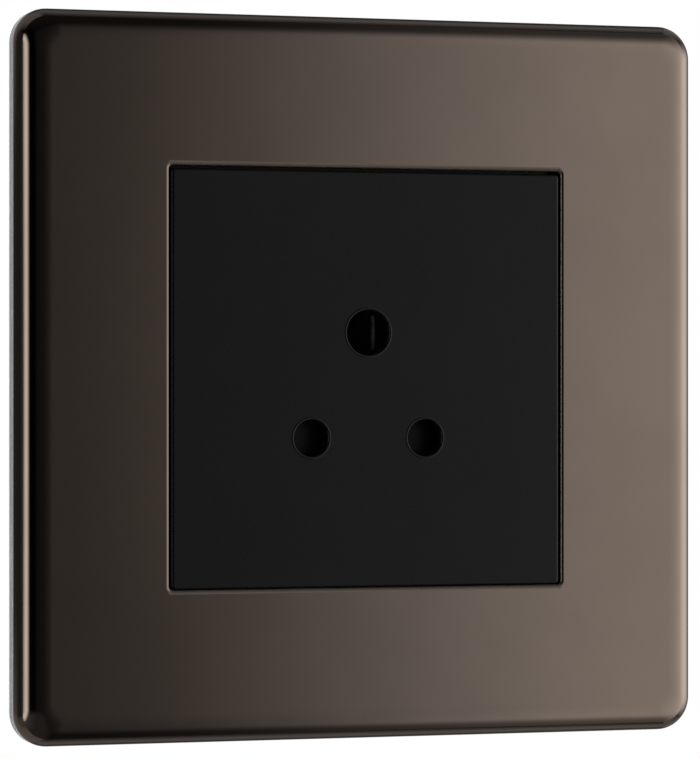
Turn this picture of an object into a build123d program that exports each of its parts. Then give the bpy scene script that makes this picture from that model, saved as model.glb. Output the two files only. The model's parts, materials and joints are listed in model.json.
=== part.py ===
"""Round pin wall socket with a clip-on metal plate.

All sizes are in millimetres. The pieces are drawn face up: x runs to the right, y up the wall
and z out of the wall, with z = 0 on the wall. At the end they are stood up, so that +Z is up
and the face looks along -Y.
"""

import os
from math import atan2, degrees, hypot, sqrt

from build123d import *

# Front plate: a dished metal pressing with a square window
plate_size = 87.3
plate_corner = 4.0
plate_roll = 3.3
plate_lip = 0.1
plate_rim = 3.4
plate_sheet = 0.9
window_size = 50.6
window_corner = 0.5
window_edge = 0.4

# Mounting frame: clear plastic, its back on the wall
frame_edge = 1.8
frame_inset = 0.1
upstand_height = 0.8
upstand_wall = 1.4
upstand_gap = 0.3
aperture = 48.4
fixing_pitch = 60.3
fixing_hole = 4.2
fixing_seat = 8.4
seat_sink = 0.6
core_depth = 0.6
core_land = 2.4
inner_land = 4.6
pad_width = 11.0
pad_lift = 0.15
pry_width = 8.0
pry_depth = 0.9
pry_reach = 1.6

# Clip frame: a plastic ring bonded inside the plate, with barbed legs
clip_inset = 3.65
clip_gap = 1.7
clip_corner = 2.0
clip_thick = 1.3
clip_spread = 20.0
leg_inset = 2.4
leg_width = 5.0
leg_thick = 1.2
leg_lift = 0.2
hook_reach = 0.6
hook_lip = 0.25
ledge_level = 0.95
ledge_gap = 0.1
slot_gap = 0.25

# Socket face: the black insert with its flange and spigot
insert_gap = 0.22
face_height = 5.2
face_wall = 2.0
face_edge = 0.4
face_corner = 0.5
flange_reach = 2.0
flange_thick = 1.2
flange_corner = 1.5
aperture_gap = 0.2
module_drop = 0.15
spigot_wall = 1.6
spigot_corner = 2.0
spigot_lift = 0.2
boss_size = 5.6
boss_inset = 2.2
boss_gap = 0.1
pilot_floor = 0.4
hold_rib = 0.9
hold_gap = 0.2

# Pin holes: an equilateral triangle, earth at the top
pin_pitch = 14.68
earth_above = 5.6
line_hole = 4.35
earth_hole = 5.4
hole_rim = 0.35

# Shutter: slides to the right when the earth pin pushes its ramp
shutter_travel = 5.4
shutter_thick = 1.5
shutter_margin = 1.4
flap_cover = 0.4
nose_height = 0.6
nose_gap = 0.2
nose_half = 2.1
ridge_x = 1.4
ridge_flat = 0.25
ramp_back = 1.9
ramp_end = -2.5
ramp_half = 2.9
ramp_cheek = 0.7
ramp_tip = 0.45
ramp_clear = 0.15
peg_size = 1.1
peg_long = 2.4

# Shutter bed: the deck under the shutter
bed_thick = 1.6
bed_gap = 0.2
slide_gap = 0.2
rail_gap = 0.15
rail_wide = 1.2
rail_high = 1.9
rail_inset = 2.7
stop_gap = 0.1
stop_wide = 1.2
stop_long = 5.0
slot_room = 0.3
seat_wide = 1.2
seat_long = 4.4
boss_room = 0.3

# Shutter spring: a coil along x between the shutter and its seat
coil_size = 2.2
coil_wire = 0.36
coil_turns = 5
coil_sides = 4
coil_gap = 0.05
groove_gap = 0.3

# Base moulding behind the wall
clamp_width = 1.3
base_depth = 15.4
base_taper = 1.0
base_corner = 2.5
recess_corner = 2.2
tower_depth = 17.6
tower_width = 9.6
tower_length = 10.4
tower_corner = 1.0
pocket_gap = 0.25
well_floor = 1.0
core_side = 11.0
core_length = 17.0
core_sink = 9.0
core_wall = 2.6
core_y = 4.0
core_corner = 1.5

# Contacts: split brass sleeves with flat tails
line_bore = 3.5
earth_bore = 5.02
sleeve_wall = 0.8
line_sleeve = 10.0
earth_sleeve = 11.5
sleeve_lead = 0.45
slit_width = 0.7
slit_start = 2.2
tail_thick = 0.8
tail_width = 6.2
tail_gap = 0.4

# Terminals: brass blocks under the tails
terminal_width = 7.0
terminal_side = 6.4
terminal_long = 9.4
terminal_edge = 0.4
line_step_x = 7.6
line_step_y = 2.6
earth_step_y = 3.2
wire_hole = 3.2
wire_below = 5.4
entry_size = 4.6
spigot_size = 2.4
rivet_head = 3.6
rivet_thick = 0.28
rivet_gap = 0.06

# Earth strap: a bronze strip from the earth terminal to the plate
strap_width = 4.0
strap_thick = 0.35
strap_bend = 0.6
strap_tail = 2.2
strap_clear = 1.2
strap_shoulder = 1.3
strap_reach = 3.2
strap_tip = 1.6
strap_tip_drop = 0.6
strap_touch_gap = 0.06
strap_room = 0.5

# Screws
clamp_screw = 2.9
clamp_thread_gap = 0.05
clamp_standoff = 1.4
clamp_head = 5.0
clamp_head_high = 2.0
clamp_tip_gap = 0.2
access_gap = 0.3
body_screw = 3.0
body_thread_gap = 0.05
body_clear = 0.25
body_head = 5.4
body_head_high = 2.2
body_head_gap = 0.3
body_seat = -9.6
body_tip = 2.2
fixing_screw = 3.5
fixing_neck = 3.1
fixing_long = 25.0
fixing_head = 6.8
fixing_head_high = 2.3
head_room = 1.0
head_gap = 0.35
slot_width = 0.9
slot_depth = 0.9

# Levels above and below the wall
over = 1.0
plate_front = frame_edge + plate_rim
plate_inside = plate_front - plate_sheet
clip_bottom = plate_inside - clip_thick
flange_top = frame_edge + flange_thick
face_inside = face_height - face_wall
shutter_front = face_inside - nose_gap - nose_height
shutter_back = shutter_front - shutter_thick
bed_top = shutter_back - slide_gap
bed_bottom = bed_top - bed_thick
deck = bed_bottom
tail_top = deck - tail_gap
tail_bottom = tail_top - tail_thick
terminal_rear = tail_bottom - terminal_long
wire_level = tail_bottom - wire_below
seat_level = frame_edge - seat_sink

# Sizes that follow from the others
face_size = window_size - 2 * insert_gap
flange_size = face_size + 2 * flange_reach
clip_outer = plate_size - 2 * clip_inset
clip_inner = flange_size + 2 * clip_gap
clip_line = clip_outer / 2 - leg_inset
spigot_outer = aperture - 2 * aperture_gap
cavity_size = spigot_outer - 2 * spigot_wall
bed_size = cavity_size - 2 * bed_gap
base_size = aperture + 2 * clamp_width
boss_reach = cavity_size / 2 - boss_inset
line_terminal_x = boss_reach - line_step_x
line_terminal_y = line_step_y - boss_reach
earth_terminal_y = boss_reach - earth_step_y
strap_rise_y = flange_size / 2 + strap_clear
strap_touch_y = strap_rise_y + strap_reach
strap_tip_y = strap_touch_y + strap_tip
core_x = base_size / 2 - core_wall - core_side / 2
line_x = pin_pitch / 2
line_y = earth_above - pin_pitch * sqrt(3) / 2
shutter_right = line_x + line_hole / 2 + flap_cover
shutter_left = -shutter_right
shutter_top = earth_above + ramp_half + shutter_margin
shutter_bottom = line_y - line_hole / 2 - shutter_margin
arm_bottom = line_y + line_hole / 2 + flap_cover
arm_top = earth_above - ramp_half - ramp_cheek
wedge_bottom = deck + ramp_clear
coil_height = (arm_bottom + arm_top) / 2
coil_level = (shutter_front + shutter_back) / 2
coil_start = shutter_right + coil_gap
coil_end = bed_size / 2 - seat_wide - coil_gap
module = Pos(0, -module_drop, 0)


def slab(width, height, bottom, top, corner=0.0):
    """Square-cornered or round-cornered block about the middle, between two levels."""
    outline = RectangleRounded(width, height, corner) if corner else Rectangle(width, height)
    return extrude(Pos(0, 0, bottom) * outline, amount=top - bottom)


def block(left, right, low, high, bottom, top):
    """Plain block between limits along x, y and z."""
    middle = Pos((left + right) / 2, (low + high) / 2, (bottom + top) / 2)
    return middle * Box(right - left, high - low, top - bottom)


def rod(x, y, size, bottom, top):
    """Cylinder of a given diameter, upright on the bench."""
    return extrude(Pos(x, y, bottom) * Circle(size / 2), amount=top - bottom)


def side_profile(points, width):
    """Outline in the y-z plane, spread evenly to both sides of x = 0."""
    face = Plane.YZ * make_face(Polyline(*points, close=True))
    return extrude(face, amount=width / 2, both=True)


def end_profile(points, middle, width):
    """Outline in the x-z plane, spread evenly to both sides of a height on y."""
    face = Plane.XZ * make_face(Polyline(*points, close=True))
    return Pos(0, middle, 0) * extrude(face, amount=width / 2, both=True)


def top_edges(shape):
    """Edges round the highest flat face."""
    return shape.faces().sort_by(Axis.Z)[-1].edges()


def corners(reach):
    """The four corner places of a square."""
    return [(sx * reach, sy * reach) for sx in (-1, 1) for sy in (-1, 1)]


def clip_places():
    """Eight turned places, two on each side of the plate."""
    return [Rot(Z=90 * side) * Pos(s * clip_spread, 0, 0) for side in range(4) for s in (-1, 1)]


def front_plate():
    """Dished plate with a rolled edge and a window."""
    hollow_size = plate_size - 2 * plate_sheet
    roll = min(plate_roll, plate_rim - plate_lip, plate_corner - plate_lip)
    shell = slab(plate_size, plate_size, frame_edge, plate_front, plate_corner)
    shell = fillet(top_edges(shell), roll)
    hollow = slab(hollow_size, hollow_size, frame_edge - over, plate_inside, plate_corner - plate_sheet)
    hollow = fillet(top_edges(hollow), roll - plate_sheet)
    window = slab(window_size, window_size, frame_edge, plate_front + over, window_corner)
    plate = shell - hollow - window
    front = plate.faces().sort_by(Axis.Z)[-1]
    return fillet(front.inner_wires()[0].edges(), window_edge)


def clip_leg():
    """One barbed leg of the clip frame, its barb to the outside."""
    inner = clip_line - leg_thick / 2
    outer = clip_line + leg_thick / 2
    hook_top = ledge_level - ledge_gap
    points = [
        (inner, clip_bottom + clip_thick / 2),
        (inner, leg_lift),
        (outer, leg_lift),
        (outer + hook_reach, hook_top - hook_lip),
        (outer + hook_reach, hook_top),
        (outer, hook_top),
        (outer, clip_bottom + clip_thick / 2),
    ]
    return side_profile(points, leg_width)


def clip_frame():
    """Ring under the plate with eight barbed legs, open round the screws and the strap."""
    ring = slab(clip_outer, clip_outer, clip_bottom, plate_inside, clip_corner)
    ring -= slab(clip_inner, clip_inner, clip_bottom - over, plate_inside + over, clip_corner)
    room = fixing_head + 2 * head_room
    for x in (-fixing_pitch / 2, fixing_pitch / 2):
        ring -= rod(x, 0, room, clip_bottom - over, plate_inside + over)
    half = strap_width / 2 + strap_room
    ring -= block(-half, half, 0, strap_tip_y + 2 * strap_room, clip_bottom - over, plate_inside + over)
    for place in clip_places():
        ring += place * clip_leg()
    return ring


def clip_slot():
    """Opening in the frame for one leg: narrow over the ledge, wider below it."""
    inner = clip_line - leg_thick / 2 - hook_reach - slot_gap
    outer = clip_line + leg_thick / 2 + slot_gap
    half = leg_width / 2 + slot_gap
    upper = block(-half, half, inner, outer, -over, frame_edge + over)
    lower = block(-half, half, inner, outer + hook_reach, -over, ledge_level)
    return upper + lower


def frame_core(outer):
    """Shallow hollow in the frame's back, between its outer and inner lands."""
    wide = outer - 2 * core_land
    narrow = aperture + 2 * inner_land
    core = slab(wide, wide, -over, core_depth, plate_corner - core_land)
    core -= slab(narrow, narrow, -2 * over, core_depth + over, spigot_corner)
    for place in clip_places():
        low = clip_line - pad_width / 4
        pad = block(-leg_width, leg_width, low, low + pad_width / 2, pad_lift, core_depth + over)
        core -= place * pad
    for x in (-fixing_pitch / 2, fixing_pitch / 2):
        core -= rod(x, 0, pad_width, pad_lift, core_depth + over)
    return core


def mounting_frame():
    """Clear frame with its upstand, aperture, clip slots and screw seats."""
    outer = plate_size - 2 * frame_inset
    step = plate_sheet + upstand_gap
    wall_outer = plate_size - 2 * step
    wall_inner = wall_outer - 2 * upstand_wall
    top = frame_edge + upstand_height
    frame = slab(outer, outer, 0, frame_edge, plate_corner - frame_inset)
    upstand = slab(wall_outer, wall_outer, frame_edge - over / 2, top, plate_corner - step)
    upstand -= slab(wall_inner, wall_inner, frame_edge - over, top + over, plate_corner - step - upstand_wall)
    frame += upstand
    frame -= slab(aperture, aperture, -over, top + over, spigot_corner)
    frame -= frame_core(outer)
    for place in clip_places():
        frame -= place * clip_slot()
    for x in (-fixing_pitch / 2, fixing_pitch / 2):
        frame -= rod(x, 0, fixing_hole, -over, top + over)
        frame -= rod(x, 0, fixing_seat, seat_level, top + over)
    half = strap_width / 2 + strap_room
    slot = (strap_rise_y - strap_thick - strap_room, strap_rise_y + strap_thick + strap_room)
    frame -= block(-half, half, slot[0], slot[1], -over, top + over)
    low = -outer / 2
    bottom = frame_edge - pry_depth
    pry = block(-pry_width / 2, pry_width / 2, low - over, low + pry_reach, bottom, top + over)
    return frame - pry


def pin_places():
    """Pin hole centres with their hole sizes."""
    return [(0, earth_above, earth_hole), (-line_x, line_y, line_hole), (line_x, line_y, line_hole)]


def eased_hole(x, y, size, bottom):
    """Pin hole through the face from a lower level, flared at its mouth."""
    radius = size / 2
    mouth = face_height - hole_rim
    wide = radius + hole_rim
    top = face_height + over
    flare = Bezier((radius, mouth), (radius, face_height), (wide, face_height))
    rest = Polyline(flare @ 1, (wide, top), (0, top), (0, bottom), (radius, bottom), flare @ 0)
    return Pos(x, y, 0) * revolve(Plane.XZ * make_face([flare, rest]), Axis.Z)


def socket_face():
    """Insert, flange and spigot in one moulding, hollow behind, with four screw bosses."""
    spigot_bottom = deck + spigot_lift
    insert = slab(face_size, face_size, flange_top - flange_thick / 2, face_height, face_corner)
    insert = fillet(top_edges(insert), face_edge)
    flange = slab(flange_size, flange_size, frame_edge, flange_top, flange_corner)
    spigot = slab(spigot_outer, spigot_outer, spigot_bottom, flange_top, spigot_corner)
    face = insert + flange + spigot
    face -= slab(cavity_size, cavity_size, spigot_bottom - over, face_inside, spigot_corner / 2)
    for x, y in corners(boss_reach):
        face += rod(x, y, boss_size, deck + boss_gap, face_inside + face_wall / 2)
    for x, y in corners(boss_reach):
        face -= rod(x, y, body_screw + 2 * body_thread_gap, deck - over, face_inside - pilot_floor)
    rib_bottom, rib_top = shutter_front + hold_gap, face_inside + face_wall / 2
    for low in (shutter_top - hold_rib, shutter_bottom):
        face += block(shutter_left, shutter_right + shutter_travel, low, low + hold_rib, rib_bottom, rib_top)
    for x, y, size in pin_places():
        face -= eased_hole(x, y, size, rib_bottom)
    head_top = seat_level + fixing_head_high + head_gap
    for x in (-fixing_pitch / 2, fixing_pitch / 2):
        face -= rod(x, module_drop, fixing_head + 2 * head_gap, frame_edge - over, head_top)
    return module * face


def shutter_blank():
    """Flat of the shutter: an arm, two flaps over the pin holes and a block for the ramp."""
    flat = block(shutter_left, shutter_right, arm_bottom, arm_top, shutter_back, shutter_front)
    middle = (arm_bottom + arm_top) / 2
    half = line_hole / 2 + flap_cover
    for x in (-line_x, line_x):
        flat += block(x - half, x + half, shutter_bottom, middle, shutter_back, shutter_front)
    return flat + block(ramp_end, shutter_right, middle, shutter_top, shutter_back, shutter_front)


def shutter():
    """Sliding shutter with its nose, its ramp behind the earth hole and a spring peg."""
    plate = shutter_blank()
    cheek = ramp_half + ramp_cheek
    inner = shutter_back + shutter_thick / 2
    plate += block(ramp_end, ramp_back, earth_above - cheek, earth_above + cheek, wedge_bottom, inner)
    ridge_top = shutter_front + nose_height
    nose = [
        (ramp_end, inner),
        (ramp_back, inner),
        (ramp_back, shutter_front),
        (ridge_x + ridge_flat, ridge_top),
        (ramp_end, ridge_top),
    ]
    plate += end_profile(nose, earth_above, 2 * nose_half)
    void = [
        (ridge_x, ridge_top),
        (ramp_end, wedge_bottom + ramp_tip),
        (ramp_end - over, wedge_bottom + ramp_tip),
        (ramp_end - over, ridge_top + over),
        (ridge_x, ridge_top + over),
    ]
    plate -= end_profile(void, earth_above, 2 * ramp_half)
    peg = Rot(Y=90) * Cylinder(peg_size / 2, 2 * peg_long)
    return module * (plate + Pos(shutter_right, coil_height, coil_level) * peg)


def shutter_spring():
    """Compression coil, its axis along x."""
    radius = (coil_size - coil_wire) / 2
    height = coil_end - coil_start - coil_wire
    path = Helix(pitch=height / coil_turns, height=height, radius=radius)
    section = Plane(origin=path @ 0, z_dir=path % 0) * RegularPolygon(coil_wire / 2, coil_sides)
    coil = sweep(section, path=path, is_frenet=True)
    start = Pos(coil_start + coil_wire / 2, coil_height, coil_level)
    return module * start * Rot(Y=90) * coil


def shutter_bed():
    """Deck with pin holes, rails, a stop, the spring's groove and its seat."""
    bed = slab(bed_size, bed_size, bed_bottom, bed_top, spigot_corner / 2)
    rail_top = bed_top + rail_high
    rail = bed_size / 2 - rail_inset
    for low in (shutter_top + rail_gap, shutter_bottom - rail_gap - rail_wide):
        bed += block(-rail, rail, low, low + rail_wide, bed_top - bed_thick / 2, rail_top)
    stop = shutter_left - stop_gap
    low, high = coil_height - stop_long / 2, coil_height + stop_long / 2
    bed += block(stop - stop_wide, stop, low, high, bed_top - bed_thick / 2, rail_top)
    seat = bed_size / 2
    low, high = coil_height - seat_long / 2, coil_height + seat_long / 2
    bed += block(seat - seat_wide, seat, low, high, bed_top - bed_thick / 2, rail_top)
    groove = coil_size / 2 + groove_gap
    low, high = coil_height - groove, coil_height + groove
    bed -= block(shutter_right, seat - seat_wide, low, high, coil_level - groove, bed_top + over)
    cheek = ramp_half + ramp_cheek + slot_room
    low, high = earth_above - cheek, earth_above + cheek
    right = ramp_back + shutter_travel + slot_room
    bed -= block(-earth_hole / 2 - slot_room, right, low, high, bed_bottom - over, bed_top + over)
    for x in (-line_x, line_x):
        bed -= rod(x, line_y, line_hole, bed_bottom - over, bed_top + over)
    for x, y in corners(boss_reach):
        bed -= rod(x, y, boss_size + 2 * boss_room, bed_bottom - over, bed_top + over)
    pocket_top = tail_top + strap_thick + rivet_thick + rivet_gap + boss_room
    bed -= rod(0, earth_terminal_y, rivet_head + 2 * boss_room, bed_bottom - over, pocket_top)
    return module * bed


def tail_outline(start, end, width):
    """Round-ended strip between two places."""
    span = hypot(end[0] - start[0], end[1] - start[1])
    turn = degrees(atan2(end[1] - start[1], end[0] - start[0]))
    middle = Pos((start[0] + end[0]) / 2, (start[1] + end[1]) / 2, 0)
    return middle * Rot(Z=turn) * SlotCenterToCenter(span, width)


def tail(start, end, width, bottom, top):
    """Round-ended strip as a solid between two levels."""
    return extrude(Pos(0, 0, bottom) * tail_outline(start, end, width), amount=top - bottom)


def contact(start, end, bore, long):
    """Split sleeve under one pin hole, with its tail to the terminal."""
    x, y = start
    piece = tail(start, end, tail_width, tail_bottom, tail_top)
    piece += rod(x, y, bore + 2 * sleeve_wall, tail_top - long, tail_top)
    piece -= rod(x, y, bore, tail_top - long - over, tail_top + over)
    lead = Cone(bore / 2, bore / 2 + sleeve_lead, sleeve_lead)
    piece -= Pos(x, y, tail_top - sleeve_lead / 2) * lead
    half = bore / 2 + sleeve_wall + over
    bottom, top = tail_top - long - over, tail_top - slit_start
    piece -= block(x - half, x + half, y - slit_width / 2, y + slit_width / 2, bottom, top)
    piece -= rod(end[0], end[1], spigot_size + 2 * rivet_gap, tail_bottom - over, tail_top + over)
    return module * piece


def line_ends(side):
    """Pin place and terminal place on one side."""
    return (side * line_x, line_y), (side * line_terminal_x, line_terminal_y)


def earth_ends():
    """Pin place and terminal place of the earth."""
    return (0, earth_above), (0, earth_terminal_y)


def terminal(place, stack):
    """Pillar block with a wire hole, a tapped hole and a riveted spigot through the tail."""
    x, y = place
    piece = Pos(x, y, terminal_rear) * slab(terminal_width, terminal_side, 0, terminal_long)
    piece = chamfer(piece.edges().filter_by(Axis.Z), terminal_edge)
    wire = Rot(X=90) * Cylinder(wire_hole / 2, terminal_side + 2 * over)
    piece -= Pos(x, y, wire_level) * wire
    piece -= rod(x, y, clamp_screw + 2 * clamp_thread_gap, terminal_rear - over, wire_level)
    head_bottom = tail_top + stack + rivet_gap
    piece += rod(x, y, spigot_size, tail_bottom - over, head_bottom)
    return module * (piece + rod(x, y, rivet_head, head_bottom, head_bottom + rivet_thick))


def slotted_head(x, y, size, under, top):
    """Round screw head with a driver slot; its top may lie above or below its underside."""
    head = rod(x, y, size, min(under, top), max(under, top))
    floor = top - slot_depth if top > under else top + slot_depth
    low, high = min(floor, top), max(floor, top)
    return head - block(x - size, x + size, y - slot_width / 2, y + slot_width / 2, low, high)


def terminal_screws():
    """Three clamp screws, backed out clear of the wire holes, heads to the rear."""
    places = [earth_ends()[1], line_ends(-1)[1], line_ends(1)[1]]
    tip = wire_level - wire_hole / 2 - clamp_tip_gap
    under = terminal_rear - clamp_standoff
    screws = []
    for x, y in places:
        shank = rod(x, y, clamp_screw, under, tip)
        screws.append(module * (shank + slotted_head(x, y, clamp_head, under, under - clamp_head_high)))
    return Compound(children=screws)


def body_screws():
    """Four screws from the rear into the bosses of the face."""
    screws = []
    for x, y in corners(boss_reach):
        shank = rod(x, y, body_screw, body_seat, body_tip)
        screws.append(module * (shank + slotted_head(x, y, body_head, body_seat, body_seat - body_head_high)))
    return Compound(children=screws)


def fixing_screws():
    """Two box screws on their seats in the frame."""
    tip = seat_level - fixing_long
    screws = []
    for x in (-fixing_pitch / 2, fixing_pitch / 2):
        screw = rod(x, 0, fixing_screw, tip, 0) + rod(x, 0, fixing_neck, 0, seat_level)
        screws.append(screw + slotted_head(x, 0, fixing_head, seat_level, seat_level + fixing_head_high))
    return Compound(children=screws)


def earth_strap():
    """Strip from the earth spigot, out under the frame and up to the inside of the plate."""
    run = tail_top + strap_thick / 2
    touch = plate_inside - strap_touch_gap - strap_thick / 2
    points = [
        (earth_terminal_y - strap_tail, run),
        (strap_rise_y, run),
        (strap_rise_y, plate_inside - strap_shoulder),
        (strap_touch_y, touch),
        (strap_tip_y, touch - strap_tip_drop),
    ]
    path = FilletPolyline(*points, radius=strap_bend)
    face = Plane.YZ * trace(path, strap_thick)
    strip = extrude(face, amount=strap_width / 2, both=True)
    hole = rod(0, earth_terminal_y, spigot_size + 2 * rivet_gap, run - over, run + over)
    return module * (strip - hole)


def contact_room(start, end, bore, long):
    """Space in the base for one contact: tail recess, sleeve pocket and terminal pocket."""
    x, y = start
    room = tail(start, end, tail_width + 2 * pocket_gap, tail_bottom, deck + over)
    sleeve = bore + 2 * sleeve_wall + 2 * pocket_gap
    room += rod(x, y, sleeve, tail_top - long - pocket_gap, deck + over)
    width = terminal_width + 2 * pocket_gap
    length = terminal_side + 2 * pocket_gap
    room += Pos(end[0], end[1], 0) * slab(width, length, terminal_rear, deck + over)
    access = clamp_head + 2 * access_gap
    return room + rod(end[0], end[1], access, -tower_depth - over, terminal_rear + over)


def base_moulding():
    """Rear moulding with its deck recess, contact rooms, wire entries, towers and screw wells."""
    outline = RectangleRounded(base_size, base_size, base_corner)
    base = extrude(outline, amount=-base_depth, taper=base_taper)
    ends = [earth_ends(), line_ends(-1), line_ends(1)]
    for _, (x, y) in ends:
        tower = slab(tower_width, tower_length, -tower_depth, -base_depth + over, tower_corner)
        tower = chamfer(tower.faces().sort_by(Axis.Z)[0].edges(), terminal_edge)
        base += Pos(x, y, 0) * tower
    for side in (-1, 1):
        core = slab(core_side, core_length, -base_depth - over, -base_depth + core_sink, core_corner)
        base -= Pos(side * core_x, core_y, 0) * core
    recess = spigot_outer + 2 * aperture_gap
    base -= slab(recess, recess, deck, over, recess_corner)
    for (start, end), bore in zip(ends, (earth_bore, line_bore, line_bore)):
        base -= contact_room(start, end, bore, earth_sleeve if bore == earth_bore else line_sleeve)
        reach = base_size / 2 + over
        entry = Rot(X=90) * Cylinder(entry_size / 2, reach)
        way = 1 if end[1] > 0 else -1
        base -= Pos(end[0], end[1] + way * reach / 2, wire_level) * entry
    base -= rod(0, earth_above, earth_bore + 2 * pocket_gap, -base_depth + well_floor, deck)
    half = strap_width / 2 + strap_room
    base -= block(-half, half, earth_terminal_y, base_size, tail_top, over)
    for x, y in corners(boss_reach):
        base -= rod(x, y, body_screw + 2 * body_clear, -base_depth - over, over)
        base -= rod(x, y, body_head + 2 * body_head_gap, -tower_depth - over, body_seat)
    return module * base


PIECES = {
    "front_plate": front_plate(),
    "clip_frame": clip_frame(),
    "mounting_frame": mounting_frame(),
    "socket_face": socket_face(),
    "shutter": shutter(),
    "shutter_spring": shutter_spring(),
    "shutter_bed": shutter_bed(),
    "base_moulding": base_moulding(),
    "live_contact": contact(*line_ends(1), line_bore, line_sleeve),
    "neutral_contact": contact(*line_ends(-1), line_bore, line_sleeve),
    "earth_contact": contact(*earth_ends(), earth_bore, earth_sleeve),
    "live_terminal": terminal(line_ends(1)[1], 0),
    "neutral_terminal": terminal(line_ends(-1)[1], 0),
    "earth_terminal": terminal(earth_ends()[1], strap_thick),
    "terminal_screws": terminal_screws(),
    "earth_strap": earth_strap(),
    "body_screws": body_screws(),
    "fixing_screws": fixing_screws(),
}

# Every piece is stood up against the wall and written out
os.makedirs("parts", exist_ok=True)
for name, piece in PIECES.items():
    standing = Rot(X=90) * piece
    export_step(standing, f"parts/{name}.step")
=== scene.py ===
"""Looks of a round pin wall socket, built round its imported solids.

Metres, +Z up. The face looks along -Y, the wall lies at Y = 0 and the rear is at +Y.
"""

import json
import math
from collections import namedtuple

import bmesh
import bpy
from mathutils import Matrix, Vector


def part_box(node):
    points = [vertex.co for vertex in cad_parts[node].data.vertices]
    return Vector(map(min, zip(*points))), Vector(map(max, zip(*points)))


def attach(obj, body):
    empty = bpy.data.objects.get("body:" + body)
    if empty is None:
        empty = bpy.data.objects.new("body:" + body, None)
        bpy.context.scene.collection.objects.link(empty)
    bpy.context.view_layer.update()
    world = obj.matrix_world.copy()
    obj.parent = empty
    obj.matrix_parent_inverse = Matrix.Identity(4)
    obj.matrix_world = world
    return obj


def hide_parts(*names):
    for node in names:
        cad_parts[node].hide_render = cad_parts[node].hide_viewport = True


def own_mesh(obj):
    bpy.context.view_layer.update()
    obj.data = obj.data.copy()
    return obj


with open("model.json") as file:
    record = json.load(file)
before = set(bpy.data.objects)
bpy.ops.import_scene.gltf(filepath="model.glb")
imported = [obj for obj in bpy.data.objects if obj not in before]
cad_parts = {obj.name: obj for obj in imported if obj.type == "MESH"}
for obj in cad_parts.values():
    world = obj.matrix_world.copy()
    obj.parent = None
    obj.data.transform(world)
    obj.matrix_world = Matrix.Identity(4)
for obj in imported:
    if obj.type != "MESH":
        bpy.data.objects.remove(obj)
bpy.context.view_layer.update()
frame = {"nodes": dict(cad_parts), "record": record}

MM = 0.001

# Camera: a long lens, a little to the left of the face
IMAGE_HEIGHT = 758
FOCAL_PIXELS = 4720
SENSOR = 36.0
VIEW_ANGLE = math.radians(21.07)
CAMERA_PLACE = (-0.2047, -0.5366, -0.00137)
LENS_SHIFT = (-0.02456, 0.01332)

# The studio is what mirrors see. A bearing goes by how far a direction points sideways, in front and
# behind alike: 0 is straight in front of the face, and right is positive.
# Heights, depths and places across are parts of a direction of length 1.
# A pair of values says where a light begins to change and where the change ends.
Look = namedtuple("Look", "x y z tall bearing")

# Large box at the right and narrow strip at the left: (degrees, share of the level)
BOX_LEVEL = 2.4
RIGHT_BOX = (
    (-38, 0.001),
    (-33, 0.006),
    (-20, 0.0095),
    (0, 0.0125),
    (14, 0.021),
    (17.3, 0.036),
    (18.4, 0.056),
    (19.6, 0.102),
    (20.8, 0.178),
    (21.9, 0.241),
    (23, 0.303),
    (24.3, 0.384),
    (28, 0.4),
    (33, 0.414),
    (38, 0.437),
    (46, 0.475),
    (57, 0.55),
    (68, 0.68),
    (80, 0.89),
    (96, 0.83),
    (105, 0.67),
    (114, 0.4),
    (122, 0.18),
    (128, 0.065),
)
LEFT_STRIP = (
    (-160, 0.02),
    (-103, 0.02),
    (-90, 0.06),
    (-83, 0.55),
    (-78, 0.95),
    (-71.5, 0.95),
    (-64, 0.3),
    (-60, 0.0),
)
STRIP_HEIGHT = (0.41, 0.46)

# Both lean a little below the middle. The box fades above and below, sooner towards its far side
LEAN = math.radians(0.35)
LEAN_HEIGHT = (-0.1, 0.0)
BOX_TOP = (0.45, 0.9)
BOX_TOP_REST = 0.14
BOX_FOOT = (-0.935, -0.68)
BOX_FOOT_REST = 0.25
BOX_TAPER = 0.3
TAPER_SPAN = (math.radians(22), math.radians(80))

# Faint light overhead and underfoot, and a fill low in front that is stronger to the left
OVERHEAD = 0.02
FILL_FRONT = 0.06
FILL_LEFT = 0.16
FILL_TURN = (math.radians(-75), math.radians(-25))
FILL_HEIGHT = (-0.32, -0.08)
FILL_BEARING = (math.radians(-12), math.radians(17))

# Light far round to both sides, seen along the outer edge of the plate's corners.
# It leaves a gap where the plate's straight upper and lower edges look
EDGE_LEVEL = 0.27
EDGE_HEIGHT = (0.045, 0.12)
EDGE_BEARING = (math.radians(108), math.radians(142))
EDGE_NARROW = math.radians(9)
EDGE_SPLIT = (-0.05, 0.05)
EDGE_MIDDLE = 0.2
EDGE_ACROSS = (0.22, 0.32)

# Light behind the object, seen as a line along the plate's upper and lower edges
RIM_ABOVE = 0.3
RIM_BELOW = 0.33
RIM_HEIGHT = (0.5, 0.86)
RIM_DEPTH = (-0.15, 0.5)
RIM_SPLIT = (-0.35, 0.35)
RIM_ACROSS = (0.3, 0.42)
RIM_LEFT_SHARE = 0.8
RIM_END = (-0.36, -0.06)
RIM_END_REST = 0.3

# White straight behind, and the even light that falls on matt surfaces
BACKDROP = (0.88, 0.99)
AMBIENT = 0.3

KEY_PLACE = (1.05, -0.42, 0.15)
KEY_SIZE = 0.8
KEY_POWER = 14.0
REAR_PLACE = (-0.5, 0.9, 0.8)
REAR_SIZE = 0.9
REAR_POWER = 7.0
FLOOR_LEVEL = -0.14
FLOOR_RADIUS = 0.9
FLOOR_SEGMENTS = 96
FLOOR_CLOUD = 200 * MM
FLOOR_SHADES = (0.78, 0.82)
FLOOR_ROUGHNESS = 0.9

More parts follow.
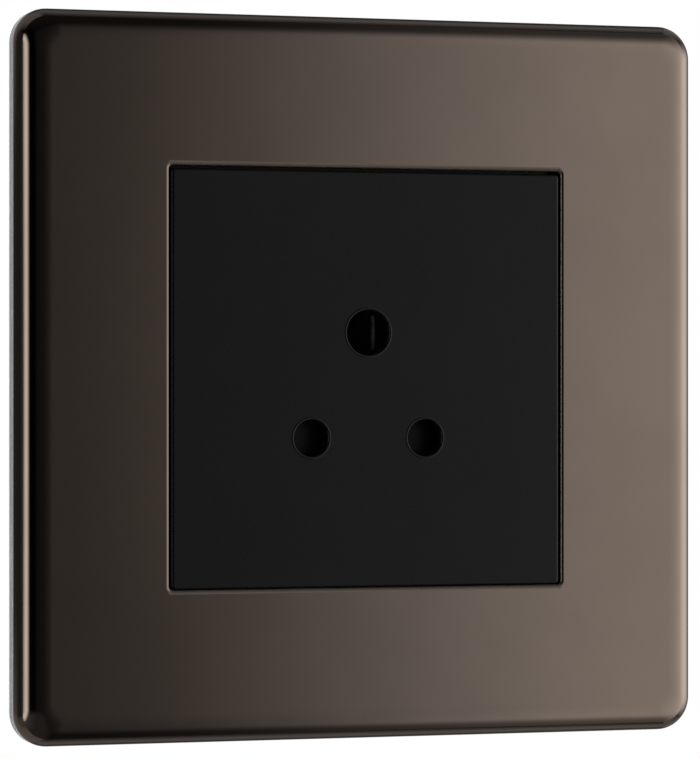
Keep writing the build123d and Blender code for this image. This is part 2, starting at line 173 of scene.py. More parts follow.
# Places of the colour sockets on a Mix node
MIX_SHARE = 0
MIX_FIRST = 6
MIX_SECOND = 7
MIX_RESULT = 2

# Materials: sizes of their marks, the look of the clear plastic, and the ways that drawn lines lie
NOISE_DETAIL = 3.0
DRAWN_LINE = 0.12 * MM
DRAWN_CLOUD = 3 * MM
MOULD_CLOUD = 9 * MM
FLOW_SIZE = 14 * MM
FLOW_STRETCH = (1.0, 1.0, 0.35)
FLOW_RELIEF = 0.02 * MM
CLEAR_DARK = (0.76, 0.80, 0.87)
CLEAR_LIGHT = (0.87, 0.9, 0.95)
CLEAR_ROUGH = (0.12, 0.22)
CLEAR_GRAIN = 0.4 * MM
CLEAR_SHARE = 0.82
CLEAR_INDEX = 1.5
ALONG_Y = (1.0, 0.05, 1.0)
ALONG_Z = (1.0, 1.0, 0.05)

# Faces that meet at less than this are shaded as one
SHARP_ANGLE = math.radians(35)

# Plate: the roll starts gently, and the face's corners are rounder than a plain roll leaves them
PLATE_CORNER = 4.0 * MM
FACE_CORNER = 1.7 * MM
PLATE_LIP = 0.1 * MM
PLATE_SHEET = 0.9 * MM
ROLL = 3.3 * MM
ROLL_EASE = 24 * MM
EASE_ANGLE = math.radians(1.2)
ROLL_STEPS = 36
INNER_STEPS = 8
CORNER_STEPS = 14
WINDOW_HALF = 25.3 * MM
WINDOW_CORNER = 0.5 * MM
WINDOW_EDGE = 0.3 * MM
WINDOW_EDGE_STEPS = 6
FLAT_MARGIN = 0.12 * MM

# The window's upper and lower edges are less polished than the rest
ROUGH_WIDTH = 0.25 * MM
ROUGH_FADE = 0.4 * MM
ROUGH_EDGE = 0.7

# Low bead round each pin hole
BEAD_OFFSET = 0.22 * MM
BEAD_HALF = 0.13 * MM
BEAD_HIGH = 0.04 * MM
BEAD_ROOT = 0.05 * MM
BEAD_STEPS = 6
BEAD_SEGMENTS = 96

# Shutter: a painted highlight, paler colour on the part of it that stands nearest to the face
GLINT_LEVEL = (-2.97 * MM, -2.8 * MM)
GLINT_COLOUR = (0.07, 0.067, 0.063)
GLINT_PATCH = 0.9 * MM
GLINT_LEAST = 0.35

# Screws, each with its own turn in radians
ScrewKind = namedtuple("ScrewKind", "node size pitch head_high heads_to_rear turns")
FIXING_SCREWS = ScrewKind(
    node="fixing_screws",
    size=3.5 * MM,
    pitch=0.6 * MM,
    head_high=2.3 * MM,
    heads_to_rear=False,
    turns=(0.0, math.radians(25)),
)
BODY_SCREWS = ScrewKind(
    node="body_screws",
    size=3.0 * MM,
    pitch=1.1 * MM,
    head_high=2.2 * MM,
    heads_to_rear=True,
    turns=(0.3, 1.1, 0.0, 0.7),
)
TERMINAL_SCREWS = ScrewKind(
    node="terminal_screws",
    size=2.9 * MM,
    pitch=0.5 * MM,
    head_high=2.0 * MM,
    heads_to_rear=True,
    turns=(0.5, 1.3, -0.2),
)
SCREW_SLOT = "zinc_steel"
NEAR_MIDDLE = 6 * MM

# Screw heads: the dome and the shank's end are shares of the height.
# A rounded edge and a dome each have one point between their ends: shares inwards and down
HEAD_SEGMENTS = 32
HEAD_EDGE = 0.45 * MM
HEAD_EDGE_POINT = (0.3, 0.4)
HEAD_UNDER_EDGE = 0.1 * MM
HEAD_DOME = 0.12
HEAD_DOME_POINT = (0.5, 0.3)
SHANK_IN_HEAD = 0.3
SLOT_LENGTH = 8 * MM
SLOT_WIDTH = 0.9 * MM
SLOT_DEPTH = 0.9 * MM
CROSS_REACH = 1.55 * MM
CROSS_WIDTH = 0.75 * MM
CROSS_DEPTH = 1.3 * MM
CROSS_ARM_DEPTH = 0.7
CROSS_MIDDLE = 1.5

# Threads: one turn's profile by share of the pitch, the depth and the tip's length in pitches
THREAD_SEGMENTS = 24
THREAD_TURN = ((0.0, "root"), (0.12, "root"), (0.46, "crest"), (0.54, "crest"), (0.88, "root"))
THREAD_DEPTH = 0.55
TIP_LENGTH = 1.5
TIP_SHARE = 0.6
WELD = 0.002 * MM

# Spring
WIRE_SIZE = 0.36 * MM
WIRE_SIDES = 10
SPRING_TURNS = 7
SPRING_STEPS = 28
END_TURNS = 1.2


def grey(level):
    """Neutral colour."""
    return (level, level, level)


def new_material(name, metallic=0.0):
    """Empty node material with its shader."""
    material = bpy.data.materials.new(name)
    material.use_nodes = True
    shader = material.node_tree.nodes["Principled BSDF"]
    shader.inputs["Metallic"].default_value = metallic
    return material, material.node_tree, shader


def math_node(tree, operation, *values):
    """Math node with each input linked or set."""
    node = tree.nodes.new("ShaderNodeMath")
    node.operation = operation
    for socket, value in zip(node.inputs, values):
        if isinstance(value, (int, float)):
            socket.default_value = value
        else:
            tree.links.new(value, socket)
    return node.outputs[0]


def product(tree, first, second):
    """Two values multiplied."""
    return math_node(tree, "MULTIPLY", first, second)


def largest(tree, first, *others):
    """The largest of some values."""
    for other in others:
        first = math_node(tree, "MAXIMUM", first, other)
    return first


def axes(tree, kind):
    """The x, y and z of one kind of texture coordinates."""
    coords = tree.nodes.new("ShaderNodeTexCoord")
    split = tree.nodes.new("ShaderNodeSeparateXYZ")
    tree.links.new(coords.outputs[kind], split.inputs[0])
    return split.outputs


def noise(tree, size, stretch=(1.0, 1.0, 1.0)):
    """Noise with features of about the given size in metres."""
    coords = tree.nodes.new("ShaderNodeTexCoord")
    mapping = tree.nodes.new("ShaderNodeMapping")
    mapping.inputs["Scale"].default_value = stretch
    texture = tree.nodes.new("ShaderNodeTexNoise")
    texture.inputs["Scale"].default_value = 1.0 / size
    texture.inputs["Detail"].default_value = NOISE_DETAIL
    tree.links.new(coords.outputs["Object"], mapping.inputs["Vector"])
    tree.links.new(mapping.outputs["Vector"], texture.inputs["Vector"])
    return texture.outputs[0]


def remap(tree, value, low, high, start=0.3, end=0.7):
    """Value taken smoothly from one range to another. The first is that of noise, unless given."""
    node = tree.nodes.new("ShaderNodeMapRange")
    node.interpolation_type = "SMOOTHSTEP"
    node.inputs["From Min"].default_value = start
    node.inputs["From Max"].default_value = end
    node.inputs["To Min"].default_value = low
    node.inputs["To Max"].default_value = high
    tree.links.new(value, node.inputs["Value"])
    return node.outputs["Result"]


def blend(tree, share, first, second):
    """Colour between two others, each of them given or linked."""
    node = tree.nodes.new("ShaderNodeMix")
    node.data_type = "RGBA"
    for place, colour in ((MIX_FIRST, first), (MIX_SECOND, second)):
        if isinstance(colour, tuple):
            node.inputs[place].default_value = (*colour, 1.0)
        else:
            tree.links.new(colour, node.inputs[place])
    tree.links.new(share, node.inputs[MIX_SHARE])
    return node.outputs[MIX_RESULT]


def bump(tree, shader, height, depth):
    """Fine relief of the given depth in metres."""
    node = tree.nodes.new("ShaderNodeBump")
    node.inputs["Strength"].default_value = 1.0
    node.inputs["Distance"].default_value = depth
    tree.links.new(height, node.inputs["Height"])
    tree.links.new(node.outputs["Normal"], shader.inputs["Normal"])


def source(socket):
    """The output that feeds a linked socket."""
    return socket.links[0].from_socket


def plated(name, dark, light, rough, cloud=12 * MM, grain=0.25 * MM, relief=0.0):
    """Metal with a faint cloud in its colour and a fine grain in its polish."""
    material, tree, shader = new_material(name, metallic=1.0)
    tint = remap(tree, noise(tree, cloud), 0.0, 1.0)
    tree.links.new(blend(tree, tint, dark, light), shader.inputs["Base Color"])
    fine = noise(tree, grain)
    tree.links.new(remap(tree, fine, *rough), shader.inputs["Roughness"])
    if relief:
        bump(tree, shader, fine, relief)
    return material


def plate_finish():
    """Plated metal, polished all over but for the upper and lower edges of its window."""
    material = plated(
        "black_nickel",
        dark=(0.209, 0.165, 0.138),
        light=(0.221, 0.175, 0.146),
        rough=(0.085, 0.105),
    )
    tree = material.node_tree
    roughness = tree.nodes["Principled BSDF"].inputs["Roughness"]
    edge = WINDOW_HALF + ROUGH_WIDTH
    x, _, z = axes(tree, "Object")
    across = math_node(tree, "ABSOLUTE", x)
    up = math_node(tree, "ABSOLUTE", z)
    rows = remap(tree, up, ROUGH_EDGE, 0.0, edge, edge + ROUGH_FADE)
    worn = product(tree, rows, remap(tree, across, 1.0, 0.0, edge - ROUGH_FADE, edge))
    tree.links.new(largest(tree, source(roughness), worn), roughness)
    return material


def drawn(name, dark, light, rough, lie, relief):
    """Metal with fine lines along one way, as rolled strip and drawn bar have."""
    material, tree, shader = new_material(name, metallic=1.0)
    lines = noise(tree, DRAWN_LINE, stretch=lie)
    cloud = remap(tree, noise(tree, DRAWN_CLOUD), 0.0, 1.0)
    tree.links.new(blend(tree, cloud, dark, light), shader.inputs["Base Color"])
    tree.links.new(remap(tree, lines, *rough), shader.inputs["Roughness"])
    bump(tree, shader, lines, relief)
    return material


def moulded(name, dark, light, rough, grain=0.16 * MM, relief=0.004 * MM, specular=0.5):
    """Opaque plastic with a spark-eroded grain and slow shifts of shade."""
    material, tree, shader = new_material(name)
    shader.inputs["Specular IOR Level"].default_value = specular
    cloud = remap(tree, noise(tree, MOULD_CLOUD), 0.0, 1.0)
    tree.links.new(blend(tree, cloud, dark, light), shader.inputs["Base Color"])
    fine = noise(tree, grain)
    tree.links.new(remap(tree, fine, *rough), shader.inputs["Roughness"])
    bump(tree, shader, fine, relief)
    return material


def shutter_finish():
    """Matt black nylon, with a painted highlight: paler colour on its nose."""
    material = moulded(
        "shutter_nylon",
        dark=grey(0.0028),
        light=grey(0.0034),
        rough=(0.44, 0.54),
        relief=0.002 * MM,
        specular=0.22,
    )
    tree = material.node_tree
    colour = tree.nodes["Principled BSDF"].inputs["Base Color"]
    depth = axes(tree, "Object")["Y"]
    # Painted highlight: the colour turns paler near the nose, in patches
    glint_band = remap(tree, depth, 1.0, 0.0, *GLINT_LEVEL)
    glint_patches = product(tree, glint_band, remap(tree, noise(tree, GLINT_PATCH), GLINT_LEAST, 1.0))
    tree.links.new(blend(tree, glint_patches, source(colour), GLINT_COLOUR), colour)
    return material


def clear_plastic():
    """Clear moulding, a little cloudy, with faint flow marks."""
    material, tree, shader = new_material("clear_plastic")
    shader.inputs["Transmission Weight"].default_value = CLEAR_SHARE
    shader.inputs["IOR"].default_value = CLEAR_INDEX
    cloud = noise(tree, FLOW_SIZE, stretch=FLOW_STRETCH)
    tint = blend(tree, remap(tree, cloud, 0.0, 1.0), CLEAR_DARK, CLEAR_LIGHT)
    tree.links.new(tint, shader.inputs["Base Color"])
    fine = noise(tree, CLEAR_GRAIN)
    tree.links.new(remap(tree, fine, *CLEAR_ROUGH), shader.inputs["Roughness"])
    bump(tree, shader, cloud, FLOW_RELIEF)
    return material


def plastics():
    """The plastics, by slot, and the shutter's own by its node."""
    return {
        "shutter": shutter_finish(),
        "clear_plastic": clear_plastic(),
        "grey_plastic": moulded(
            "grey_plastic",
            dark=(0.36, 0.37, 0.38),
            light=(0.42, 0.43, 0.44),
            rough=(0.4, 0.55),
        ),
        "black_plastic": moulded(
            "black_plastic",
            dark=grey(0.0036),
            light=grey(0.0042),
            rough=(0.26, 0.32),
            relief=0.0008 * MM,
            specular=0.22,
        ),
        "base_plastic": moulded(
            "base_plastic",
            dark=(0.020, 0.020, 0.021),
            light=(0.028, 0.028, 0.029),
            rough=(0.36, 0.52),
            grain=0.22 * MM,
            relief=0.008 * MM,
        ),
    }


def metals():
    """The metals, by slot, and one that paints shade into screw recesses."""
    return {
        "black_nickel": plate_finish(),
        "brass": drawn(
            "brass",
            dark=(0.70, 0.48, 0.18),
            light=(0.78, 0.57, 0.25),
            rough=(0.22, 0.36),
            lie=ALONG_Y,
            relief=0.004 * MM,
        ),
        "bronze": drawn(
            "bronze",
            dark=(0.66, 0.38, 0.17),
            light=(0.74, 0.46, 0.23),
            rough=(0.24, 0.36),
            lie=ALONG_Z,
            relief=0.004 * MM,
        ),
        "zinc_steel": plated(
            "zinc_steel",
            dark=(0.55, 0.56, 0.57),
            light=(0.66, 0.66, 0.64),
            rough=(0.22, 0.38),
            cloud=1.5 * MM,
            grain=0.1 * MM,
            relief=0.003 * MM,
        ),
        # Darker steel for the faces cut into screw heads: painted shade in the recesses
        "recess": plated(
            "recess",
            dark=(0.05, 0.05, 0.048),
            light=(0.09, 0.088, 0.082),
            rough=(0.5, 0.7),
            cloud=0.8 * MM,
            grain=0.1 * MM,
            relief=0.004 * MM,
        ),
        "spring_steel": drawn(
            "spring_steel",
            dark=grey(0.42),
            light=(0.52, 0.52, 0.53),
            rough=(0.25, 0.4),
            lie=ALONG_Y,
            relief=0.002 * MM,
        ),
    }


def dress():
    """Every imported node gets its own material, or that of its slot."""
    for part in frame["record"]["subparts"]:
        node = frame["nodes"][part["node"]]
        node.data.materials.clear()
        node.data.materials.append(materials.get(part["node"], materials[part["material_slot"]]))


def link_mesh(name, shape):
    """Object from a finished bmesh, smooth where its faces meet gently."""
    bmesh.ops.recalc_face_normals(shape, faces=shape.faces)
    mesh = bpy.data.meshes.new(name)
    shape.to_mesh(mesh)
    shape.free()
    mesh.polygons.foreach_set("use_smooth", [True] * len(mesh.polygons))
    mesh.set_sharp_from_angle(angle=SHARP_ANGLE)
    item = bpy.data.objects.new(name, mesh)
    bpy.context.scene.collection.objects.link(item)
    return item


def around(count):
    """Angles evenly spaced round a full turn."""
    return [2 * math.pi * step / count for step in range(count)]


def bridge(shape, rings, closed=True):
    """Faces from each ring of points to the next, and where closed from the last to the first.

    A ring may be one point over and over, as at a tip.
    """
    following = rings[1:] + rings[:1] if closed else rings[1:]
    for ring, after in zip(rings, following):
        for k in range(len(ring)):
            j = (k + 1) % len(ring)
            corners = dict.fromkeys((ring[k], ring[j], after[j], after[k]))
            shape.faces.new(list(corners))


def rounded_square(half, corner, level):
    """Points round a square with round corners, at a level on y."""
    points = []
    for quarter in range(4):
        facing = math.pi / 4 + quarter * math.pi / 2
        x = math.copysign(half - corner, math.cos(facing))
        z = math.copysign(half - corner, math.sin(facing))
        for step in range(CORNER_STEPS + 1):
            turn = quarter * math.pi / 2 + step / CORNER_STEPS * math.pi / 2
            points.append((x + corner * math.cos(turn), level, z + corner * math.sin(turn)))
    return points


def roll_profile():
    """Run outwards and drop along the plate's roll, from its face to its side."""
    run, drop = 0.0, 0.0
    profile = [(run, drop)]
    before = 0.0
    for step in range(1, ROLL_STEPS + 1):
        tilt = math.pi / 2 * (step / ROLL_STEPS) ** 2
        middle = (tilt + before) / 2
        length = (ROLL + ROLL_EASE * math.exp(-middle / EASE_ANGLE)) * (tilt - before)
        run += length * math.cos(middle)
        drop += length * math.sin(middle)
        profile.append((run, drop))
        before = tilt
    return profile


def outer_rings(half, front, rear):
    """Rings of the plate up its side and roll, to the edge of its flat face."""
    profile = roll_profile()
    wide, deep = profile[-1]
    drop_scale = (rear - front - PLATE_LIP) / deep
    rings = [rounded_square(half, PLATE_CORNER, rear)]
    for run, drop in reversed(profile):
        corner = FACE_CORNER + (PLATE_CORNER - FACE_CORNER) * run / wide
        rings.append(rounded_square(half - wide + run, corner, front + drop * drop_scale))
    rings.append(rounded_square(half - wide - FLAT_MARGIN, FACE_CORNER, front))
    return rings


def window_rings(front):
    """Rings of the plate over the eased edge of its window and through the sheet."""
    rim = WINDOW_HALF + WINDOW_EDGE
    rings = [rounded_square(rim + FLAT_MARGIN, WINDOW_CORNER + WINDOW_EDGE, front)]
    for step in range(WINDOW_EDGE_STEPS + 1):
        turn = math.pi / 2 * step / WINDOW_EDGE_STEPS
        inward = WINDOW_EDGE * math.sin(turn)
        down = WINDOW_EDGE * (1 - math.cos(turn))
        rings.append(rounded_square(rim - inward, WINDOW_CORNER + WINDOW_EDGE - inward, front + down))
    rings.append(rounded_square(WINDOW_HALF, WINDOW_CORNER, front + PLATE_SHEET))
    return rings


def inner_rings(half, front, rear):
    """Rings of the plate along the inside of its face, roll and side."""
    roll = ROLL - PLATE_SHEET
    side_half = half - PLATE_SHEET
    side_corner = PLATE_CORNER - PLATE_SHEET
    rings = []
    for step in range(INNER_STEPS + 1):
        turn = math.pi / 2 * step / INNER_STEPS
        inset = roll * (1 - math.sin(turn))
        level = front + PLATE_SHEET + roll * (1 - math.cos(turn))
        rings.append(rounded_square(side_half - inset, side_corner - inset, level))
    rings.append(rounded_square(side_half, side_corner, rear))
    return rings


def fit_plate():
    """Dished plate in the place of the plain one."""
    low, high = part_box("front_plate")
    rings = outer_rings(high.x, low.y, high.y)
    rings += window_rings(low.y)
    rings += inner_rings(high.x, low.y, high.y)
    shape = bmesh.new()
    bridge(shape, [[shape.verts.new(point) for point in ring] for ring in rings])
    plate = link_mesh("dished_plate", shape)
    plate.data.materials.append(materials["black_nickel"])
    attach(plate, "body")
    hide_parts("front_plate")


def bead_profile(radius):
    """(radius, height) points of a low bead, over its crest and back under it."""
    points = []
    for step in range(BEAD_STEPS + 1):
        share = 2 * step / BEAD_STEPS - 1
        points.append((radius + share * BEAD_HALF, BEAD_HIGH * (1 - share * share)))
    return points + [(radius + BEAD_HALF, -BEAD_ROOT), (radius - BEAD_HALF, -BEAD_ROOT)]


def bead_ring(shape, middle, radius, level):
    """Ring of points round the middle of a pin hole, at a level on y."""
    x, _, z = middle
    ring = []
    for turn in around(BEAD_SEGMENTS):
        place = (x + radius * math.cos(turn), level, z + radius * math.sin(turn))
        ring.append(shape.verts.new(place))
    return ring


def fit_beads():
    """Low bead moulded round the mouth of each pin hole."""
    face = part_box("socket_face")[0].y
    shape = bmesh.new()
    for mount in frame["record"]["mounts"]:
        if not mount["name"].endswith("_pin_entry"):
            continue
        profile = bead_profile(mount["dims"]["r_mm"] * MM + BEAD_OFFSET)
        middle = mount["pos_m"]
        bridge(shape, [bead_ring(shape, middle, radius, face - height) for radius, height in profile])
    beads = link_mesh("pin_hole_beads", shape)
    beads.data.materials.append(materials["black_plastic"])
    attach(beads, "body")


def lathe(shape, profile, segments):
    """Closed surface of revolution about Z from (radius, height) points, first and last on the axis."""
    rings = []
    for radius, height in profile:
        if radius == 0:
            rings.append([shape.verts.new((0, 0, height))] * segments)
            continue
        places = [(radius * math.cos(t), radius * math.sin(t), height) for t in around(segments)]
        rings.append([shape.verts.new(place) for place in places])
    bridge(shape, rings, closed=False)


def thread_row(shape, start, radius, core, kind, low, high):
    """One turn of a thread's line from a start in turns, held between two heights, thinner at the tip."""
    row = []
    for i in range(THREAD_SEGMENTS + 1):
        height = low + (start + i / THREAD_SEGMENTS) * kind.pitch
        held = min(max(height, low), high)
        wide = radius if held == height else core
        wide *= min(1.0, TIP_SHARE + (1 - TIP_SHARE) * (held - low) / (TIP_LENGTH * kind.pitch))
        angle = 2 * math.pi * i / THREAD_SEGMENTS
        row.append(shape.verts.new((wide * math.cos(angle), wide * math.sin(angle), held)))
    return row


def thread(shape, kind, low, high):
    """Helical thread about Z between two heights, closed at both ends."""
    crest = kind.size / 2
    core = crest - THREAD_DEPTH * kind.pitch
    radii = {"root": core, "crest": crest}
    rows = []
    for turn in range(-1, math.ceil((high - low) / kind.pitch) + 1):
        for share, part in THREAD_TURN:
            rows.append(thread_row(shape, turn + share, radii[part], core, kind, low, high))
    for below, above in zip(rows, rows[1:]):
        for i in range(THREAD_SEGMENTS):
            shape.faces.new((below[i], below[i + 1], above[i + 1], above[i]))
    bmesh.ops.remove_doubles(shape, verts=shape.verts, dist=WELD)
    bmesh.ops.dissolve_degenerate(shape, edges=shape.edges, dist=WELD)
    bmesh.ops.holes_fill(shape, edges=shape.edges, sides=0)


def carve(item, cutters):
    """Cuts blocks, given as (size, centre), out of an object."""
    for size, centre in cutters:
        shape = bmesh.new()
        block = Matrix.Translation(centre) @ Matrix.Diagonal((*size, 1.0))
        bmesh.ops.create_cube(shape, size=1.0, matrix=block)
        tool = link_mesh("cutter", shape)
        # The cut faces take the darker recess material, which is painted shade
        tool.data.materials.append(materials["recess"])
        cut = item.modifiers.new("cut", "BOOLEAN")
        cut.operation = "DIFFERENCE"
        cut.material_mode = "TRANSFER"
        cut.object = tool
        graph = bpy.context.evaluated_depsgraph_get()
        mesh = bpy.data.meshes.new_from_object(item.evaluated_get(graph))
        item.modifiers.clear()
        item.data = mesh
        bpy.data.objects.remove(tool)


def slot_cut(top):
    """One slot across a head whose top lies at a height."""
    return [((SLOT_LENGTH, SLOT_WIDTH, 2 * SLOT_DEPTH), (0, 0, top))]


def cross_cut(top):
    """Two crossed slots, shorter than the head, and a square middle that goes deeper."""
    arm = 2 * CROSS_REACH
    deep = 2 * CROSS_DEPTH
    arm_deep = CROSS_ARM_DEPTH * deep
    middle = CROSS_MIDDLE * CROSS_WIDTH
    return [
        ((arm, CROSS_WIDTH, arm_deep), (0, 0, top)),
        ((CROSS_WIDTH, arm, arm_deep), (0, 0, top)),
        ((middle, middle, deep), (0, 0, top)),
    ]


def head_profile(radius, high):
    """(radius, height) points of a screw's head: underside, side, rounded edge and low dome."""
    dome = HEAD_DOME * high
    edge_in, edge_down = HEAD_EDGE_POINT
    dome_in, dome_down = HEAD_DOME_POINT
    return (
        (0, 0),
        (radius - HEAD_UNDER_EDGE, 0),
        (radius, HEAD_UNDER_EDGE),
        (radius, high - HEAD_EDGE - dome),
        (radius - edge_in * HEAD_EDGE, high - edge_down * HEAD_EDGE - dome),
        (radius - HEAD_EDGE, high - dome),
        (dome_in * radius, high - dome_down * dome),
        (0, high),
    )


def join(name, first, second):
    """Two objects as one."""
    shape = bmesh.new()
    shape.from_mesh(first.data)
    shape.from_mesh(second.data)
    for item in (first, second):
        bpy.data.objects.remove(item)
    return link_mesh(name, shape)


def screw(name, kind, recess, long, head):
    """Screw with its head's underside at the origin, head along +Z and tip along -Z."""
    shape = bmesh.new()
    thread(shape, kind, -long, SHANK_IN_HEAD * kind.head_high)
    shank = link_mesh(name, shape)
    shape = bmesh.new()
    lathe(shape, head_profile(head / 2, kind.head_high), HEAD_SEGMENTS)
    cap = link_mesh(name + "_cap", shape)
    cap.data.materials.append(materials[SCREW_SLOT])
    carve(cap, recess(kind.head_high))
    return join(name, shank, cap)


def side(value):
    """-1, 0 or 1: which part of the socket a coordinate lies in."""
    return 0 if abs(value) < NEAR_MIDDLE else int(math.copysign(1, value))


def solids_of(node):
    """Boxes of the separate solids in a node of fasteners."""
    groups = {}
    for vertex in frame["nodes"][node].data.vertices:
        groups.setdefault((side(vertex.co.x), side(vertex.co.z)), []).append(vertex.co)
    boxes = []
    for key in sorted(groups):
        points = groups[key]
        low = Vector(min(p[i] for p in points) for i in range(3))
        high = Vector(max(p[i] for p in points) for i in range(3))
        boxes.append((low, high))
    return boxes


def screw_place(kind, low, high, turn):
    """Where a screw stands in its plain one's box, turned about its own axis."""
    seat = low.y + kind.head_high
    lie = Matrix.Rotation(math.pi / 2, 4, "X")
    if kind.heads_to_rear:
        seat = high.y - kind.head_high
        lie = Matrix.Rotation(-math.pi / 2, 4, "X")
    place = Vector(((low.x + high.x) / 2, seat, (low.z + high.z) / 2))
    return Matrix.Translation(place) @ lie @ Matrix.Rotation(turn, 4, "Z")


def fit_screws(kind, recess):
    """Detailed screws in the places of a node's plain ones."""
    boxes = solids_of(kind.node)
    low, high = boxes[0]
    head = high.x - low.x
    long = high.y - low.y - kind.head_high
    name = kind.node.rstrip("s")
    pattern = screw(name, kind, recess, long, head)
    for number, (low, high) in enumerate(boxes, 1):
        item = pattern
        if number > 1:
            item = bpy.data.objects.new(name, pattern.data)
            bpy.context.scene.collection.objects.link(item)
        item.name = f"{name}_{number}"
        item.matrix_world = screw_place(kind, low, high, kind.turns[number - 1])
        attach(item, "body")
        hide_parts(kind.node)
    pattern.data.materials.append(materials[SCREW_SLOT])
    # The second material is the recess one, painted shade in the slots
    pattern.data.materials.append(materials["recess"])


def spring_point(t, radius, start, long):
    """Point on the wire's middle at a share t of its length: close coils at both ends."""
    turn = t * SPRING_TURNS
    closed = END_TURNS * WIRE_SIZE
    open_turns = SPRING_TURNS - 2 * END_TURNS
    if turn < END_TURNS:
        along = turn * WIRE_SIZE
    elif turn > SPRING_TURNS - END_TURNS:
        along = long - (SPRING_TURNS - turn) * WIRE_SIZE
    else:
        along = closed + (turn - END_TURNS) / open_turns * (long - 2 * closed)
    angle = 2 * math.pi * turn
    return start + Vector((along, radius * math.cos(angle), radius * math.sin(angle)))


def wire_rings(shape, points, middle):
    """A ring round the wire at each point of its line."""
    last = len(points) - 1
    rings = []
    for i, point in enumerate(points):
        ahead = points[min(i + 1, last)] - points[max(i - 1, 0)]
        out = (point - Vector((point.x, middle.y, middle.z))).normalized()
        across = ahead.normalized().cross(out)
        spokes = [math.cos(t) * out + math.sin(t) * across for t in around(WIRE_SIDES)]
        rings.append([shape.verts.new(point + WIRE_SIZE / 2 * spoke) for spoke in spokes])
    return rings


def fit_spring():
    """Round wire coil in the place of the plain one, squeezed by the shutter."""
    low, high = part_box("shutter_spring")
    middle = (low + high) / 2
    radius = (high.z - low.z - WIRE_SIZE) / 2
    start = Vector((low.x + WIRE_SIZE / 2, middle.y, middle.z))
    long = high.x - low.x - WIRE_SIZE
    steps = SPRING_TURNS * SPRING_STEPS
    points = [spring_point(i / steps, radius, start, long) for i in range(steps + 1)]
    shape = bmesh.new()
    rings = wire_rings(shape, points, middle)
    bridge(shape, rings, closed=False)
    shape.faces.new(rings[0])
    shape.faces.new(rings[-1])
    spring = link_mesh("coil_spring", shape)
    spring.data.materials.append(materials["spring_steel"])
    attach(spring, "body")
    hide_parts("shutter_spring")
    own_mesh(spring)


def bearing_ramp(tree, bearing, stops):
    """Level by bearing, from (degrees, share) stops. The ramp's middle is straight in front."""
    ramp = tree.nodes.new("ShaderNodeValToRGB")
    place = math_node(tree, "MULTIPLY_ADD", bearing, 0.5 / math.pi, 0.5)
    tree.links.new(place, ramp.inputs[0])
    elements = ramp.color_ramp.elements
    while len(elements) < len(stops):
        elements.new(0.5)
    for element, (degrees, share) in zip(elements, stops):
        element.position = 0.5 + degrees / 360
        element.color = (*grey(share), 1.0)
    return product(tree, ramp.outputs[0], BOX_LEVEL)


def direction(tree):
    """Parts of the direction that a mirror looks in, and its bearing."""
    x, y, z = axes(tree, "Generated")
    reach = math_node(tree, "SQRT", math_node(tree, "SUBTRACT", 1.0, product(tree, x, x)))
    ahead = product(tree, math_node(tree, "SIGN", y), product(tree, reach, -1.0))
    lean = remap(tree, z, -LEAN, 0.0, *LEAN_HEIGHT)
    bearing = math_node(tree, "ADD", lean, math_node(tree, "ARCTAN2", x, ahead))
    return Look(x, y, z, math_node(tree, "ABSOLUTE", z), bearing)


def box_light(tree, look):
    """Large box at the right."""
    near, far = TAPER_SPAN
    inside = math_node(tree, "MINIMUM", largest(tree, look.bearing, near), far)
    taper = product(tree, math_node(tree, "SUBTRACT", inside, near), BOX_TAPER)
    top = remap(tree, math_node(tree, "ADD", look.z, taper), 1.0, BOX_TOP_REST, *BOX_TOP)
    foot = remap(tree, math_node(tree, "SUBTRACT", look.z, taper), BOX_FOOT_REST, 1.0, *BOX_FOOT)
    return product(tree, bearing_ramp(tree, look.bearing, RIGHT_BOX), product(tree, top, foot))


def strip_light(tree, look):
    """Narrow strip at the left."""
    fade = remap(tree, look.tall, 1.0, 0.0, *STRIP_HEIGHT)
    return product(tree, bearing_ramp(tree, look.bearing, LEFT_STRIP), fade)


def rim_light(tree, look):
    """Light behind, above and below. Its upper half is weaker at the left end."""
    across = remap(tree, look.x, RIM_LEFT_SHARE, 1.0, *RIM_ACROSS)
    level = product(tree, across, remap(tree, look.z, RIM_BELOW, RIM_ABOVE, *RIM_SPLIT))
    high = product(tree, level, remap(tree, look.tall, 0.0, 1.0, *RIM_HEIGHT))
    below = remap(tree, look.z, 1.0, 0.0, *RIM_SPLIT)
    end = largest(tree, below, remap(tree, look.x, RIM_END_REST, 1.0, *RIM_END))
    deep = product(tree, end, remap(tree, look.y, 0.0, 1.0, *RIM_DEPTH))
    return product(tree, high, deep)


def fill_light(tree, look):
    """Faint light low in front and to the left."""
    level = remap(tree, look.bearing, FILL_LEFT, FILL_FRONT, *FILL_TURN)
    low = product(tree, level, remap(tree, look.z, 1.0, 0.0, *FILL_HEIGHT))
    return product(tree, low, remap(tree, look.bearing, 1.0, 0.0, *FILL_BEARING))


def edge_light(tree, look):
    """Light far round to both sides, narrower in its upper left part."""
    aside = math_node(tree, "ABSOLUTE", math_node(tree, "SUBTRACT", look.x, EDGE_MIDDLE))
    level = remap(tree, aside, 0.0, EDGE_LEVEL, *EDGE_ACROSS)
    rows = product(tree, level, remap(tree, look.tall, 0.0, 1.0, *EDGE_HEIGHT))
    upper = remap(tree, look.z, 0.0, 1.0, *EDGE_SPLIT)
    narrow = product(tree, upper, remap(tree, look.x, EDGE_NARROW, 0.0, *EDGE_SPLIT))
    outward = math_node(tree, "ABSOLUTE", look.bearing)
    turn = math_node(tree, "SUBTRACT", outward, narrow)
    return product(tree, rows, remap(tree, turn, 0.0, 1.0, *EDGE_BEARING))


def panorama(tree):
    """Level that mirrors see in each direction: the brightest of the studio's lights there."""
    look = direction(tree)
    lights = [make(tree, look) for make in (box_light, strip_light, rim_light, fill_light, edge_light)]
    lights.append(remap(tree, look.tall, 0.0, OVERHEAD, *BOX_TOP))
    lights.append(remap(tree, look.y, 0.0, 1.0, *BACKDROP))
    return largest(tree, *lights)


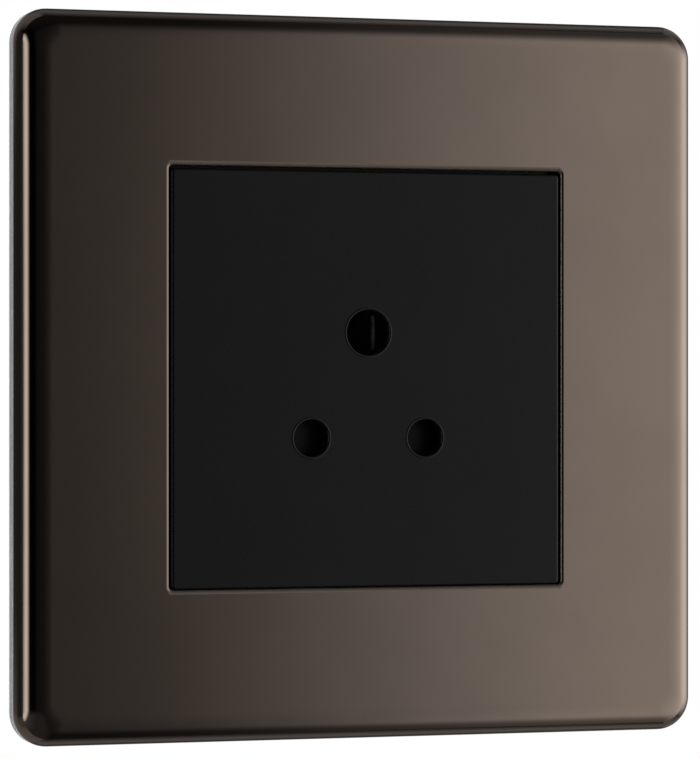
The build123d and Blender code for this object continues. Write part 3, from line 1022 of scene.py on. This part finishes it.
def studio_world():
    """White to the camera, the panorama to mirrors and clear plastic, an even light to the rest."""
    world = bpy.data.worlds.new("studio")
    bpy.context.scene.world = world
    world.use_nodes = True
    world.cycles.sampling_method = "NONE"
    tree = world.node_tree
    background = tree.nodes["Background"]
    background.inputs["Color"].default_value = (1.0, 1.0, 1.0, 1.0)
    path = tree.nodes.new("ShaderNodeLightPath")
    mirror = largest(tree, path.outputs["Is Glossy Ray"], path.outputs["Is Transmission Ray"])
    past_even = math_node(tree, "SUBTRACT", panorama(tree), AMBIENT)
    lit = math_node(tree, "MULTIPLY_ADD", past_even, mirror, AMBIENT)
    to_white = math_node(tree, "SUBTRACT", 1.0, lit)
    level = math_node(tree, "MULTIPLY_ADD", to_white, path.outputs["Is Camera Ray"], lit)
    tree.links.new(level, background.inputs["Strength"])


def soft_lamp(name, place, size, power):
    """Square area lamp that faces the object, kept out of mirrors."""
    light = bpy.data.lights.new(name, "AREA")
    light.size = size
    light.energy = power
    lamp = bpy.data.objects.new(name, light)
    bpy.context.scene.collection.objects.link(lamp)
    lamp.location = place
    lamp.rotation_euler = (-Vector(place)).to_track_quat("-Z", "Y").to_euler()
    lamp.visible_glossy = False


def floor():
    """Pale round floor below the object, kept out of mirrors."""
    material, tree, shader = new_material("floor")
    dark, light = FLOOR_SHADES
    tint = blend(tree, noise(tree, FLOOR_CLOUD), grey(dark), grey(light))
    tree.links.new(tint, shader.inputs["Base Color"])
    shader.inputs["Roughness"].default_value = FLOOR_ROUGHNESS
    shape = bmesh.new()
    bmesh.ops.create_circle(shape, cap_ends=True, segments=FLOOR_SEGMENTS, radius=FLOOR_RADIUS)
    ground = link_mesh("floor", shape)
    ground.location.z = FLOOR_LEVEL
    ground.data.materials.append(material)
    ground.visible_glossy = False


def camera():
    """The photograph's viewpoint."""
    data = bpy.data.cameras.new("camera")
    data.sensor_fit = "VERTICAL"
    data.sensor_height = SENSOR
    data.lens = SENSOR * FOCAL_PIXELS / IMAGE_HEIGHT
    data.shift_x, data.shift_y = LENS_SHIFT
    viewer = bpy.data.objects.new("camera", data)
    bpy.context.scene.collection.objects.link(viewer)
    viewer.location = CAMERA_PLACE
    viewer.rotation_euler = (math.pi / 2, 0, -VIEW_ANGLE)
    bpy.context.scene.camera = viewer


materials = {**plastics(), **metals()}
dress()
fit_plate()
fit_beads()
fit_screws(FIXING_SCREWS, slot_cut)
fit_screws(BODY_SCREWS, cross_cut)
fit_screws(TERMINAL_SCREWS, slot_cut)
fit_spring()

studio_world()
soft_lamp("key", KEY_PLACE, KEY_SIZE, KEY_POWER)
soft_lamp("rear", REAR_PLACE, REAR_SIZE, REAR_POWER)
floor()
camera()
bpy.context.scene.view_settings.view_transform = "Standard"
